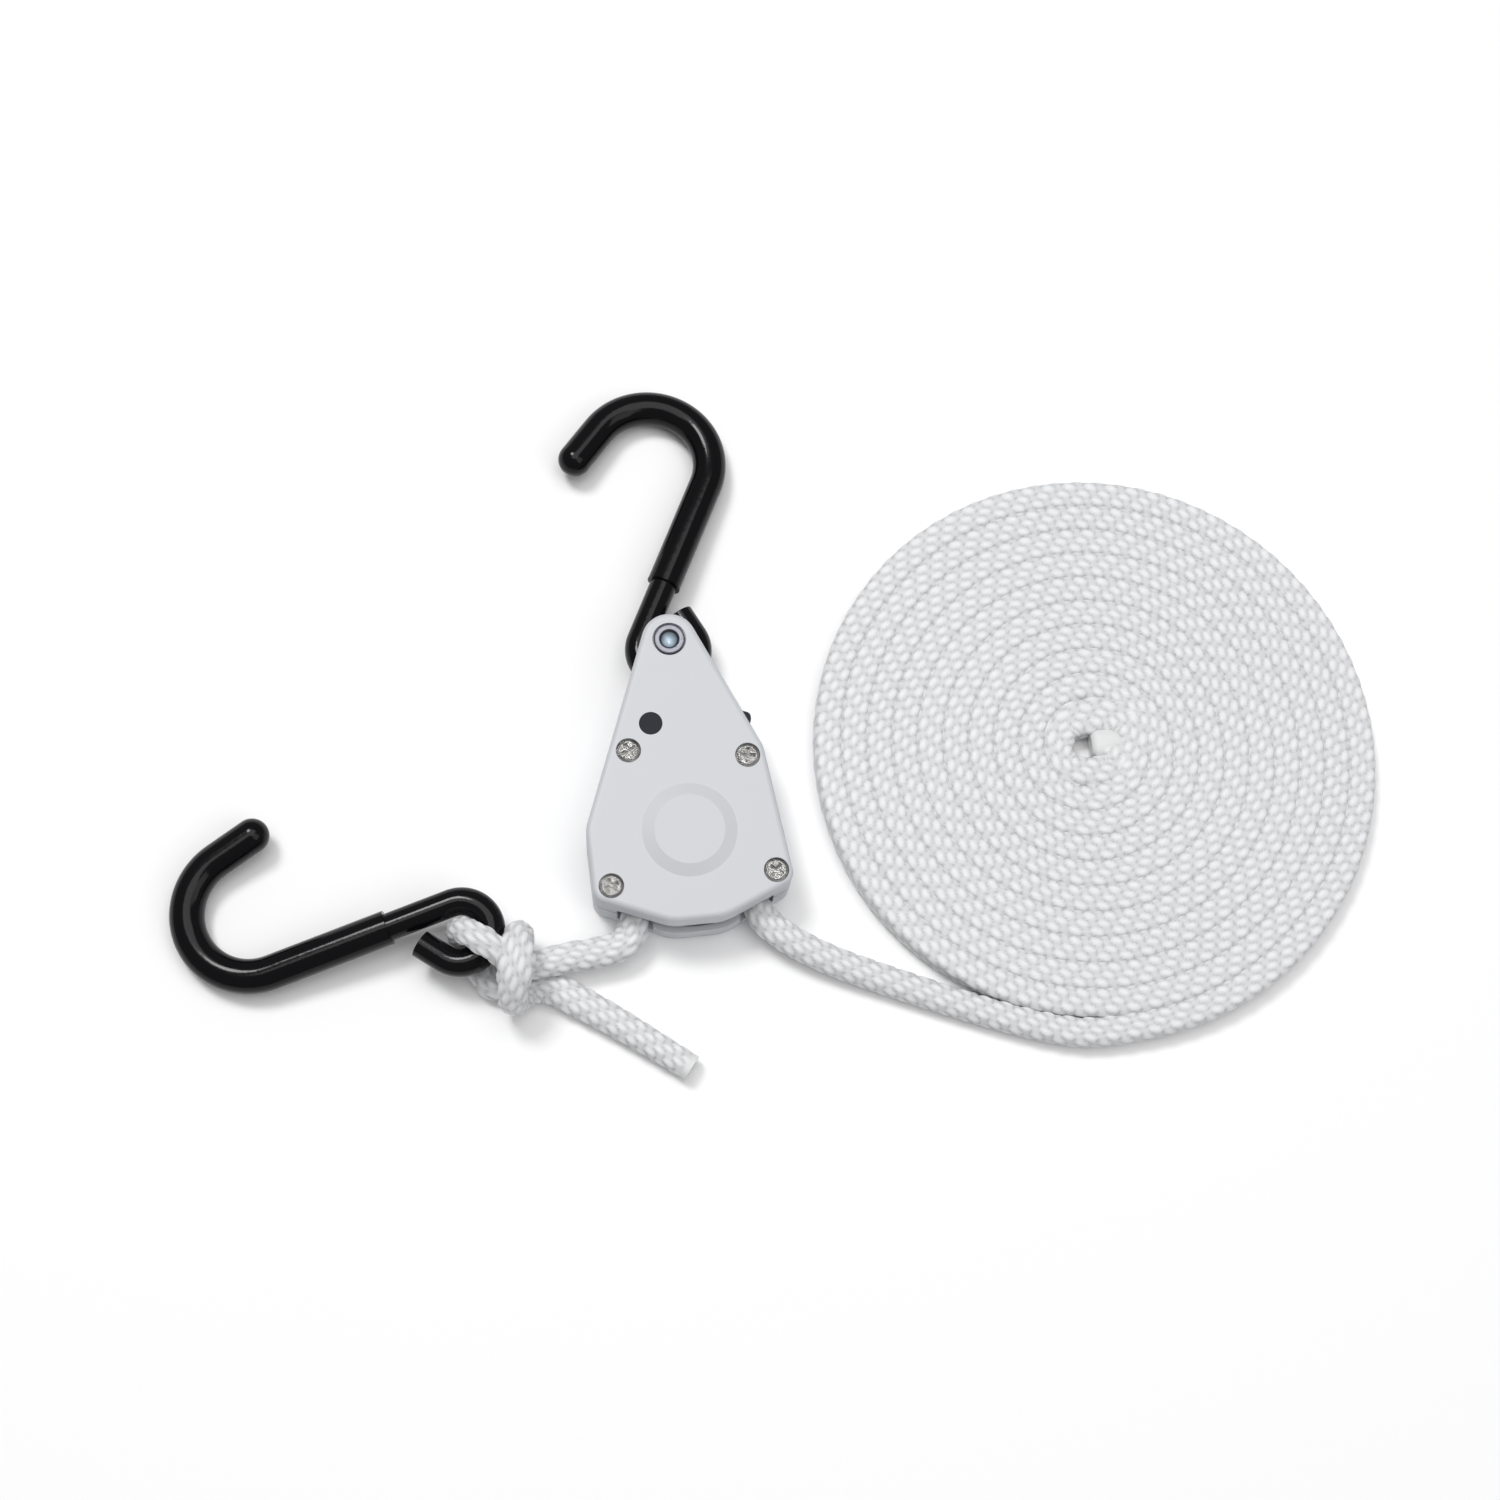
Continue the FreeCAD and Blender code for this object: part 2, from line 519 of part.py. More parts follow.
# ---------------------------------------------------------------- write
os.makedirs("parts", exist_ok=True)
for name, shape in OUT.items():
    assert shape.isValid(), name
    shape.exportStep("parts/" + name + ".step")
    b = shape.BoundBox
    print(name.ljust(18), len(shape.Solids), "vol %.0f" % shape.Volume,
          "x %.1f %.1f y %.1f %.1f z %.2f %.2f" % (b.XMin, b.XMax, b.YMin, b.YMax, b.ZMin, b.ZMax))
for name, value in lengths.items():
    print("length", name, round(value, 1))
for name in ("rope_free", "rope_lead"):
    want = lengths[name] * math.pi * rope_d ** 2 / 4
    print("tube volume ratio", name, round(OUT[name].Volume / want, 4))
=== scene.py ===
# %% [markdown]
# A rope ratchet hanger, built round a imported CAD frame.
# The hard parts (two covers, a rope wheel, a release pawl and two S-hooks) come from CAD and only
# get better finishes here. The rope is the soft part, and it is made from scratch: one braided
# rope that starts at a cut end, is knotted round the lower hook, runs over the wheel and ends in
# a flat coil. Everything is in metres, in the same frame as the CAD.

# %% Load the frame
import math

import bpy
import numpy as np
from mathutils import Matrix, Vector


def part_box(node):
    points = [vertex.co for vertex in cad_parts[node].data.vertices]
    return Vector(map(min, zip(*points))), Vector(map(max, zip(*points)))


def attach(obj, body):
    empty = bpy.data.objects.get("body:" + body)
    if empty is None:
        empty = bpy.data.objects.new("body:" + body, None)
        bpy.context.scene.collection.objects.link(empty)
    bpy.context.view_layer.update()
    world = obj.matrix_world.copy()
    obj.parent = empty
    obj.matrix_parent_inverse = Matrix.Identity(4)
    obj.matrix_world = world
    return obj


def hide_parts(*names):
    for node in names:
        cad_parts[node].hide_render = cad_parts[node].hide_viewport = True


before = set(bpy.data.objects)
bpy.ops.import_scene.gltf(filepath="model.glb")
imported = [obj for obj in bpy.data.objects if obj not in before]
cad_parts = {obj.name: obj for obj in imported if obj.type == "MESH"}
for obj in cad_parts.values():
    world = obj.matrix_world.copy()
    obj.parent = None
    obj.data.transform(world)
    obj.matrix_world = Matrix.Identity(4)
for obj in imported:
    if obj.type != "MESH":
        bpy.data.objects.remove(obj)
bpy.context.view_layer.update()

# %% [markdown]
# The camera stands nearly above the hanger and a little towards its lower edge, turned a few
# degrees, so the left and lower walls of the case show. A long lens keeps the coil round. The
# three directions below are the camera's own right, up and back, written as a matrix, which is
# the plainest way to fix a turned camera without adding up three angles.

# %% Camera
camera_right = Vector((0.99245, -0.11010, 0.05406))
camera_up = Vector((0.09286, 0.96240, 0.25524))
camera_back = camera_right.cross(camera_up).normalized()
camera_up = camera_back.cross(camera_right).normalized()
camera_place = (-0.0297, -0.1229, 0.5613)
camera = bpy.data.objects.new("camera", bpy.data.cameras.new("camera"))
camera.data.lens, camera.data.sensor_width = 60.0, 36.0
camera.matrix_world = Matrix(
    [[camera_right[i], camera_up[i], camera_back[i], at] for i, at in enumerate(camera_place)]
    + [[0.0, 0.0, 0.0, 1.0]]
)
bpy.context.scene.collection.objects.link(camera)
bpy.context.scene.camera = camera
print("camera looks down by", round(math.degrees(math.asin(camera_back.z)), 1), "degrees")

# %% [markdown]
# The rope's route is one smooth spline. The lead and the free run use the same control points as
# their CAD tubes, and the tail's lie within a millimetre of its tube's. The knot's strands are
# routed only here, because the CAD has an egg and a loop in their place. Points are written in
# millimetres because a maker measures a rope that way, and turned into metres once.
# A quadratic spline cuts a little inside its corners, so points on a circle are set out a
# little further than the circle itself: by one over the cosine of half the step.

# %% Route: the tail and the knot
tail_points = [(-4.4, -51.2, 3.15), (-17.4, -41.0, 3.15), (-29.2, -32.9, 3.25)]
knot_points = [
    (-35.4, -28.9, 3.4), (-39.6, -30.2, 2.9), (-42.3, -32.6, 5.2), (-42.7, -33.2, 11.2),
    (-42.0, -30.6, 16.4), (-41.0, -25.7, 18.8), (-40.3, -20.8, 16.6), (-39.9, -18.4, 11.0),
    (-39.9, -18.9, 5.4), (-41.1, -23.0, 2.9), (-43.4, -27.9, 2.9), (-46.9, -28.9, 3.1),
    (-49.3, -25.0, 3.2), (-51.2, -20.6, 3.4), (-53.2, -17.0, 7.0), (-53.1, -16.5, 12.6),
    (-51.0, -17.9, 16.8), (-47.2, -20.9, 18.4), (-43.9, -23.5, 15.8), (-42.4, -24.8, 10.4),
]
lead_points = [
    (-37.6, -25.6, 7.6), (-30.2, -24.0, 6.8), (-23.4, -23.8, 6.0), (-15.7, -22.3, 6.4),
    (-13.4, -15.9, 7.3),
]
print("points in the tail, knot and lead", len(tail_points), len(knot_points), len(lead_points))

# %% Route: over the wheel, the free run and the coil
wheel_pitch, wheel_step, wheel_z = 11.6, 30, 7.3
wheel_angles = np.radians(np.arange(180, -1, -wheel_step))
wheel_out = wheel_pitch / math.cos(math.radians(wheel_step / 2))
wheel_points = [(wheel_out * math.cos(a), wheel_out * math.sin(a), wheel_z) for a in wheel_angles]
free_points = [
    (13.2, -16.3, 7.3), (16.6, -22.2, 6.3), (27.6, -29.6, 4.3), (43.6, -36.9, 3.15),
    (61.0, -44.6, 3.15), (76.6, -50.6, 3.15),
]
coil_x, coil_y, coil_z = 95.2, 13.0, 3.27
coil_start, coil_pitch, coil_radius = math.radians(-96.0), 5.9, 65.3
points_in_turn, coil_points = 16, 148
turned = np.arange(coil_points) * 2 * math.pi / points_in_turn
radius = (coil_radius - coil_pitch * turned / (2 * math.pi)) / math.cos(math.pi / points_in_turn)
turn_points = np.stack(
    [coil_x + radius * np.cos(coil_start + turned), coil_y + radius * np.sin(coil_start + turned),
     np.full(coil_points, coil_z)], axis=1)
hairpin = [
    (10.9, 0.6), (9.9, 5.6), (5.8, 7.9), (0.6, 7.8), (-5.2, 6.8), (-7.7, 1.6), (-6.6, -4.0),
    (-2.2, -5.6), (2.2, -5.6), (5.6, -5.0), (5.7, 1.0), (3.2, 1.1), (0.6, 1.1),
]
hairpin_points = [(coil_x + x, coil_y + y, coil_z) for x, y in hairpin]
last_angle = math.degrees(coil_start + turned[-1]) % 360
print("coil turns set out by angle", round(coil_points / points_in_turn, 2),
      "last radius, mm", round(float(radius[-1]), 2), "angle", round(last_angle, 1))

# %% Make the spline and read its line back
route = 0.001 * np.array(
    tail_points + knot_points + lead_points + wheel_points + free_points
    + turn_points.tolist() + hairpin_points
)
curve = bpy.data.curves.new("rope_route", "CURVE")
curve.dimensions, curve.resolution_u = "3D", 48
spline = curve.splines.new("NURBS")
spline.points.add(len(route) - 1)
spline.points.foreach_set("co", np.hstack([route, np.ones((len(route), 1))]).ravel())
spline.order_u, spline.use_endpoint_u = 3, True
carrier = bpy.data.objects.new("rope_route", curve)
line_mesh = bpy.data.meshes.new_from_object(carrier)
line = np.empty(3 * len(line_mesh.vertices))
line_mesh.vertices.foreach_get("co", line)
line = line.reshape(-1, 3)
bpy.data.objects.remove(carrier)
bpy.data.meshes.remove(line_mesh)
run = np.concatenate([[0.0], np.cumsum(np.linalg.norm(np.diff(line, axis=0), axis=1))])
print("rope from end to end, m", round(float(run[-1]), 3))

# %% [markdown]
# A braided rope is a tube with a pattern on it. To lay a tube along the line, each ring needs a
# place and two directions across the rope. Taking "up" from the floor fails where the rope goes
# straight down through the hook's eye, so the directions are carried along from ring to ring
# instead, turned as little as possible each time. That is called parallel transport.

# %% Rings along the rope
ring_step = 0.00041
ring_count = int(run[-1] / ring_step) + 1
ring_run = np.linspace(0.0, run[-1], ring_count)
centre = np.stack([np.interp(ring_run, run, line[:, k]) for k in range(3)], axis=1)


def unit(a):
    """Each row of a, divided by its own length."""
    return a / np.linalg.norm(a, axis=1, keepdims=True)


tangent = unit(np.gradient(centre, axis=0))
normal = np.empty_like(centre)
normal[-1] = np.cross(tangent[-1], np.cross((0.0, 0.0, 1.0), tangent[-1]))
for i in range(ring_count - 2, -1, -1):
    carried = normal[i + 1] - tangent[i] * tangent[i].dot(normal[i + 1])
    normal[i] = carried / np.linalg.norm(carried)
side = np.cross(normal, tangent)
print("rings", ring_count, "normal at the tail", normal[0].round(2))


def run_at(point_mm):
    """Distance along the rope of the ring nearest to a point."""
    return float(ring_run[np.argmin(np.linalg.norm(centre - 0.001 * np.array(point_mm), axis=1))])


at_left_exit, at_right_exit = run_at(lead_points[-1]), run_at(free_points[0])
at_coil = run_at(turn_points[0])
at_knot_in, at_knot_out = run_at(knot_points[1]), run_at(knot_points[-1])
rope_end = float(run[-1])
print("exits, knot and coil, mm", [round(1000 * v, 1) for v in
      (at_knot_in, at_knot_out, at_left_exit, at_right_exit, at_coil, rope_end)])

# %% [markdown]
# The rope isn't round everywhere. It lies a little flat on the table and is squeezed where the
# knot crosses. In the coil it is drawn nearly square and a little wider than the step from turn to
# turn, so neighbouring turns run into each other and close up. Its outline is a
# superellipse: |x/a|^n + |z/b|^n = 1, with its half width a, half height b and squareness n
# read along the rope from a short list of places.

# %% Outline of the rope, place by place
at_coil_middle = at_coil + 0.62 * (rope_end - at_coil)
outline = np.array([
    # run, half width, half height, squareness, radius where the rope stands upright
    (0.0, 3.15, 2.95, 2.4, 3.0),
    (0.010, 3.30, 2.95, 2.4, 3.0),
    (at_knot_in - 0.020, 3.65, 2.95, 2.2, 3.0),
    (at_knot_in - 0.004, 3.95, 2.80, 2.0, 3.1),
    (at_knot_in + 0.004, 3.60, 2.80, 2.0, 3.3),
    (at_knot_in + 0.014, 4.45, 2.60, 2.0, 3.5),
    (at_knot_in + 0.030, 4.55, 2.60, 2.0, 3.5),
    (at_knot_in + 0.044, 3.30, 2.75, 2.0, 3.1),
    (at_knot_in + 0.060, 3.25, 2.95, 2.0, 3.1),
    (at_knot_out - 0.010, 3.35, 2.85, 2.0, 3.1),
    (at_knot_out, 3.00, 2.70, 2.0, 3.0),
    (at_knot_out + 0.009, 3.55, 2.80, 2.1, 3.0),
    (at_left_exit - 0.010, 3.75, 2.90, 2.2, 3.0),
    (at_left_exit - 0.003, 3.70, 2.95, 2.2, 3.0),
    (at_left_exit + 0.003, 3.00, 3.00, 2.0, 3.0),
    (at_right_exit - 0.003, 3.00, 3.00, 2.0, 3.0),
    (at_right_exit + 0.003, 3.60, 3.00, 2.2, 3.0),
    (at_coil - 0.030, 3.45, 3.05, 2.4, 3.0),
    (at_coil + 0.050, 3.42, 3.22, 5.2, 3.0),
    (at_coil_middle, 3.45, 3.24, 5.6, 3.0),
    (rope_end - 0.060, 3.45, 3.24, 5.0, 3.0),
    (rope_end - 0.048, 4.50, 3.24, 5.0, 3.0),
    (rope_end - 0.036, 4.50, 3.22, 4.8, 3.0),
    (rope_end - 0.026, 3.70, 3.20, 4.4, 3.0),
    (rope_end - 0.018, 3.75, 3.20, 4.4, 3.0),
    (rope_end, 3.50, 3.18, 3.6, 3.0),
])
half_width, half_height, square, upright = (
    np.interp(ring_run, outline[:, 0], outline[:, k]) for k in (1, 2, 3, 4)
)
# Flatness is 1 where the rope runs level and 0 where it runs straight up or down.
flatness = (1.0 - tangent[:, 2] ** 2) ** 2
half_width = 0.001 * (upright + (half_width - upright) * flatness)
half_height = 0.001 * (upright + (half_height - upright) * flatness)
print("half width from", half_width.min().round(5), "to", half_width.max().round(5))

# %% [markdown]
# This is a solid braid: twelve columns of stitches, each stitch a long oval that leans about
# eighteen degrees, and each column set on by a third of a stitch from its neighbour. So the
# stitches climb round the rope like stairs. A height field says how proud the surface stands at
# any place along and around, and the whole rope is worked out as one array.

# %% Stitch height
around = 48
columns, stitch_pitch, lean = 12, 0.0049, math.radians(18)
column_width = 0.00166
# Each oval: its shift along the column, half length, half width and how proud it stands.
ovals = ((0.0, 0.00165, 0.00092, 1.0), (0.5, 0.00105, 0.00078, 0.42))
angle = 2 * math.pi * np.arange(around) / around


def oval(along, across, half_length, half_across):
    """Dome height of an oval: the root of 1 - (along/l)^2 - (across/w)^2, and 0 outside it."""
    return np.sqrt(np.clip(1.0 - (along / half_length) ** 2 - (across / half_across) ** 2, 0.0, 1.0))


def stitches(distance, turn):
    """Surface height from 0, in a pit, to 1, on a stitch. distance runs along the rope and turn
    goes round it. Stitch k of column m sits at pitch * (k + m / 3), and the highest of the
    nearby ovals counts; a lower oval fills the gap between two stitches of a column."""
    place = turn / (2 * math.pi) * columns
    height = np.zeros(np.broadcast(distance, turn).shape)
    for step in (-1, 0, 1):
        column = np.round(place) + step
        off = (place - column) * column_width
        phase = distance / stitch_pitch - column / 3.0
        for shift, length, breadth, proud in ovals:
            ahead = (phase - shift - np.round(phase - shift)) * stitch_pitch
            along = ahead * math.cos(lean) - off * math.sin(lean)
            across = ahead * math.sin(lean) + off * math.cos(lean)
            height = np.maximum(height, proud * oval(along, across, length, breadth))
    return height


# %% [markdown]
# A height field only moves points in and out along the outline's own directions, so a ring keeps
# its count of points and the tube stays closed. Each piece gets a flat cap at both ends, whose
# edge is marked sharp so it doesn't bend the light on the last ring. At the coil's inner end the
# last rings are drawn in, which rounds the fused end.

# %% Build a stretch of rope
def ring_points(rows, swell, depth):
    """Points of rings: centre + direction * (outline radius * swell - depth * (1 - height))."""
    direction = (normal[rows, None] * np.cos(angle)[None, :, None]
                 + side[rows, None] * np.sin(angle)[None, :, None])
    upward = np.array((0.0, 0.0, 1.0)) - tangent[rows] * tangent[rows, 2:3]
    upward = upward / (np.linalg.norm(upward, axis=1, keepdims=True) + 1e-6)
    rise = np.abs(np.einsum("ijk,ik->ij", direction, upward))
    level = np.sqrt(np.clip(1.0 - rise ** 2, 0.0, 1.0))
    n = square[rows, None]
    a, b = half_width[rows, None], half_height[rows, None]
    reach = ((level / a) ** n + (rise / b) ** n) ** (-1.0 / n)
    height = stitches(ring_run[rows, None], angle[None, :])
    out = reach * swell[:, None] - depth[:, None] * (1.0 - height)
    return centre[rows, None] + direction * out[..., None], height


def tube_mesh(name, points, height, fused, distance):
    """A closed tube from a grid of points: quads between rings, and a fan to a pole at each end.
    It carries the stitch height and the melted ends as attributes, and a UV map that runs in
    stitch pitches along and columns around."""
    rings, count = points.shape[:2]
    verts = np.vstack([points.reshape(-1, 3), points[0].mean(axis=0), points[-1].mean(axis=0)])
    i, j = np.meshgrid(np.arange(rings - 1), np.arange(count), indexing="ij")
    k = (j + 1) % count
    quads = np.stack([i * count + j, (i + 1) * count + j, (i + 1) * count + k, i * count + k], axis=-1)
    first, after = np.arange(count), (np.arange(count) + 1) % count
    last = (rings - 1) * count
    pole = rings * count
    start_cap = np.stack([first, after, np.full(count, pole)], axis=1)[:, ::-1]
    end_cap = np.stack([last + first, last + after, np.full(count, pole + 1)], axis=1)
    mesh = bpy.data.meshes.new(name)
    quads = quads.reshape(-1, 4)
    mesh.from_pydata(verts.tolist(), [], quads.tolist() + start_cap.tolist() + end_cap.tolist())
    for label, values in (("stitch", height), ("fused", fused)):
        layer = mesh.attributes.new(label, "FLOAT", "POINT")
        poles = [values[0].mean(), values[-1].mean()]
        layer.data.foreach_set("value", np.append(values.ravel(), poles))
    loops = np.empty(len(mesh.loops), dtype=np.int32)
    mesh.loops.foreach_get("vertex_index", loops)
    along = np.append(np.repeat(distance, count), [distance[0], distance[-1]]) / stitch_pitch
    turn = np.append(np.tile(np.arange(count), rings), [0, 0]) * columns / count
    turn = turn[loops]
    body = 4 * len(quads)
    wrapped = turn[:body].reshape(-1, 4)
    over_seam = wrapped.max(axis=1) - wrapped.min(axis=1) > columns / 2
    wrapped[over_seam[:, None] & (wrapped < 0.5)] += columns
    braid = mesh.uv_layers.new(name="braid")
    braid.data.foreach_set("uv", np.stack([along[loops], turn], axis=1).ravel())
    mesh.shade_smooth()
    edge_ends = np.empty(2 * len(mesh.edges), dtype=np.int32)
    mesh.edges.foreach_get("vertices", edge_ends)
    edge_ends = edge_ends.reshape(-1, 2)
    start_rim = edge_ends.max(axis=1) < count
    end_rim = (edge_ends.min(axis=1) >= last) & (edge_ends.max(axis=1) < pole)
    mesh.edges.foreach_set("use_edge_sharp", start_rim | end_rim)
    mesh.update()
    piece = bpy.data.objects.new(name, mesh)
    bpy.context.scene.collection.objects.link(piece)
    print(name, "rings", rings, "triangles", 2 * len(quads) + 2 * count)
    return piece


# Depth of the pits between stitches on the open rope and in the coil, and the run between the two.
stitch_depth, coil_depth, coil_blend = 0.00045, 0.00032, 0.05
# Length of the melted part at the inner and the outer end, how fast it comes in, how strong it is
# at the outer end, and how much thinner melted rope is.
inner_end, outer_end = 0.0075, 0.0022
melt_gain, outer_melt, melt_thinner = 2.2, 0.75, 0.05
# Length of the rounded tip and how far its last ring is drawn in.
tip_length, tip_draw = 0.0016, 0.7


def rope_stretch(name, start, stop):
    """The rope between two distances along it, and one ring past, so that the pieces overlap.
    Near a true end the stitches fade into the melted nylon."""
    rows = np.flatnonzero((ring_run >= start - 1e-9) & (ring_run <= stop + 1e-9))
    rows = np.arange(rows[0], min(rows[-1] + 2, ring_count))
    to_end, to_start = rope_end - ring_run[rows], ring_run[rows]
    melted_inside = np.clip(1.0 - to_end / inner_end, 0.0, 1.0)
    melted_outside = np.clip(1.0 - to_start / outer_end, 0.0, 1.0)
    melted = melted_inside + outer_melt * melted_outside
    melted = np.clip(melt_gain * melted, 0.0, 1.0)
    swell = np.ones(len(rows)) - melt_thinner * melted
    dome = np.clip(1.0 - to_end / tip_length, 0.0, 1.0)
    swell = swell * np.sqrt(np.clip(1.0 - (tip_draw * dome) ** 2, 0.0, 1.0))
    in_coil = np.clip((ring_run[rows] - at_coil) / coil_blend, 0.0, 1.0)
    depth = stitch_depth + (coil_depth - stitch_depth) * in_coil
    points, height = ring_points(rows, swell, depth * (1.0 - melted))
    fused = np.repeat(melted[:, None], around, axis=1)
    return tube_mesh(name, points, height, fused, ring_run[rows]), rows


left_rope, left_rows = rope_stretch("rope_knotted_end", 0.0, at_left_exit)
wheel_rope, wheel_rows = rope_stretch("rope_on_wheel", at_left_exit, at_right_exit)
coil_cut = np.linspace(at_right_exit, rope_end, 4)
coil_ropes = [
    rope_stretch(name, coil_cut[k], coil_cut[k + 1])
    for k, name in enumerate(("rope_run_and_outer_turns", "rope_middle_turns", "rope_inner_turns"))
]
print("left, wheel and coil rows", len(left_rows), len(wheel_rows), [len(rows) for _, rows in coil_ropes])

# %% Attach the stretches to the case and hide the CAD rope
rope_pieces = [left_rope, wheel_rope] + [piece for piece, _ in coil_ropes]
for piece in rope_pieces:
    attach(piece, "case")
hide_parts("rope_lead", "rope_knot", "rope_tail")
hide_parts("rope_over_wheel")
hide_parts("rope_free", "rope_coil")
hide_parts("rope_coil")
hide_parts("rope_coil")


# %% [markdown]
# Surfaces are procedural. Each shared effect is one node group that is used by several
# materials: a moulded grain, marks on metal, a dipped skin and the filaments of the yarn. A
# group gives a height and a shade, and the material decides what to do with them.

# %% Helpers for materials
def node_group(name, outputs):
    """An empty shader group with a Vector input, a Scale input and the named float outputs."""
    tree = bpy.data.node_groups.new(name, "ShaderNodeTree")
    tree.interface.new_socket("Vector", in_out="INPUT", socket_type="NodeSocketVector")
    scale = tree.interface.new_socket("Scale", in_out="INPUT", socket_type="NodeSocketFloat")
    scale.default_value = 1.0
    for output in outputs:
        tree.interface.new_socket(output, in_out="OUTPUT", socket_type="NodeSocketFloat")
    return tree, tree.nodes.new("NodeGroupInput"), tree.nodes.new("NodeGroupOutput")


def add(tree, kind, links=(), **values):
    """A node with its inputs set by name or linked. A link is (input, socket)."""
    node = tree.nodes.new(kind)
    for key, value in values.items():
        if hasattr(node, key):
            setattr(node, key, value)
        else:
            node.inputs[key.replace("_", " ")].default_value = value
    for socket, source in links:
        tree.links.new(source, node.inputs[socket])
    return node


def math_node(tree, operation, a, b):
    """One operation on two sockets or numbers. A third input keeps the node's own value."""
    node = tree.nodes.new("ShaderNodeMath")
    node.operation = operation
    for k, value in enumerate((a, b)):
        if isinstance(value, (int, float)):
            node.inputs[k].default_value = value
        else:
            tree.links.new(value, node.inputs[k])
    return node.outputs[0]


def scaled(tree, group_in, factor):
    """The group's vector times its Scale input times a factor."""
    by = math_node(tree, "MULTIPLY", group_in.outputs["Scale"], factor)
    node = tree.nodes.new("ShaderNodeVectorMath")
    node.operation = "SCALE"
    tree.links.new(group_in.outputs["Vector"], node.inputs[0])
    tree.links.new(by, node.inputs["Scale"])
    return node.outputs[0]


# %% Shared effects
grain, gin, gout = node_group("moulded_grain", ("Height", "Shade"))
fine = add(grain, "ShaderNodeTexNoise", [("Vector", scaled(grain, gin, 2600.0))],
           Detail=3.0, Roughness=0.6)
slow = add(grain, "ShaderNodeTexNoise", [("Vector", scaled(grain, gin, 60.0))], Detail=2.0)
grain.links.new(fine.outputs[0], gout.inputs["Height"])
grain.links.new(math_node(grain, "MULTIPLY_ADD", slow.outputs[0], 0.5), gout.inputs["Shade"])

marks, gin, gout = node_group("metal_marks", ("Height", "Shade"))
turned_marks = add(marks, "ShaderNodeTexNoise", [("Vector", scaled(marks, gin, 3000.0))],
                   Detail=4.0, Roughness=0.7)
blots = add(marks, "ShaderNodeTexNoise", [("Vector", scaled(marks, gin, 420.0))], Detail=3.0)
marks.links.new(turned_marks.outputs[0], gout.inputs["Height"])
marks.links.new(blots.outputs[0], gout.inputs["Shade"])

skin, gin, gout = node_group("dipped_skin", ("Height", "Shade"))
wobble = add(skin, "ShaderNodeTexNoise", [("Vector", scaled(skin, gin, 240.0))], Detail=1.5)
smear = add(skin, "ShaderNodeTexNoise", [("Vector", scaled(skin, gin, 900.0))], Detail=4.0, Roughness=0.65)
skin.links.new(wobble.outputs[0], gout.inputs["Height"])
skin.links.new(smear.outputs[0], gout.inputs["Shade"])

yarn, gin, gout = node_group("yarn_filaments", ("Height", "Shade"))
stretch = add(yarn, "ShaderNodeVectorMath", [(0, scaled(yarn, gin, 1.0))], operation="MULTIPLY")
stretch.inputs[1].default_value = (2.6, 11.0, 1.0)
threads = add(yarn, "ShaderNodeTexNoise", [("Vector", stretch.outputs[0])], Detail=2.0, Roughness=0.6)
tufts = add(yarn, "ShaderNodeTexNoise", [("Vector", scaled(yarn, gin, 0.9))], Detail=1.0)
yarn.links.new(threads.outputs[0], gout.inputs["Height"])
yarn.links.new(tufts.outputs[0], gout.inputs["Shade"])
print("groups", sorted(g.name for g in bpy.data.node_groups))

# %% Finishes
def finish(name, group, scale, dark, light, gloss, bump, metallic=0.0, shine=0.5, sharp=0.15):
    """A material: the group's Shade runs the colour from dark to light and the roughness across
    gloss, and its Height makes the bump. bump is in metres."""
    material = bpy.data.materials.new(name)
    material.use_nodes = True
    tree = material.node_tree
    shader = tree.nodes["Principled BSDF"]
    coordinates = add(tree, "ShaderNodeTexCoord")
    effect = add(tree, "ShaderNodeGroup", node_tree=group)
    effect.inputs["Scale"].default_value = scale
    tree.links.new(coordinates.outputs["Object"], effect.inputs["Vector"])
    colour = add(tree, "ShaderNodeValToRGB", [("Fac", effect.outputs["Shade"])])
    colour.color_ramp.elements[0].position, colour.color_ramp.elements[1].position = 0.3, 0.7
    colour.color_ramp.elements[0].color = (*dark, 1.0)
    colour.color_ramp.elements[1].color = (*light, 1.0)
    rough = add(tree, "ShaderNodeMapRange", [("Value", effect.outputs["Shade"])],
                From_Min=0.3, From_Max=0.7, To_Min=gloss[0], To_Max=gloss[1])
    relief = add(tree, "ShaderNodeBump", [("Height", effect.outputs["Height"])],
                 Strength=sharp, Distance=bump)
    tree.links.new(colour.outputs["Color"], shader.inputs["Base Color"])
    tree.links.new(rough.outputs[0], shader.inputs["Roughness"])
    tree.links.new(relief.outputs["Normal"], shader.inputs["Normal"])
    shader.inputs["Metallic"].default_value = metallic
    shader.inputs["Specular IOR Level"].default_value = shine
    return material


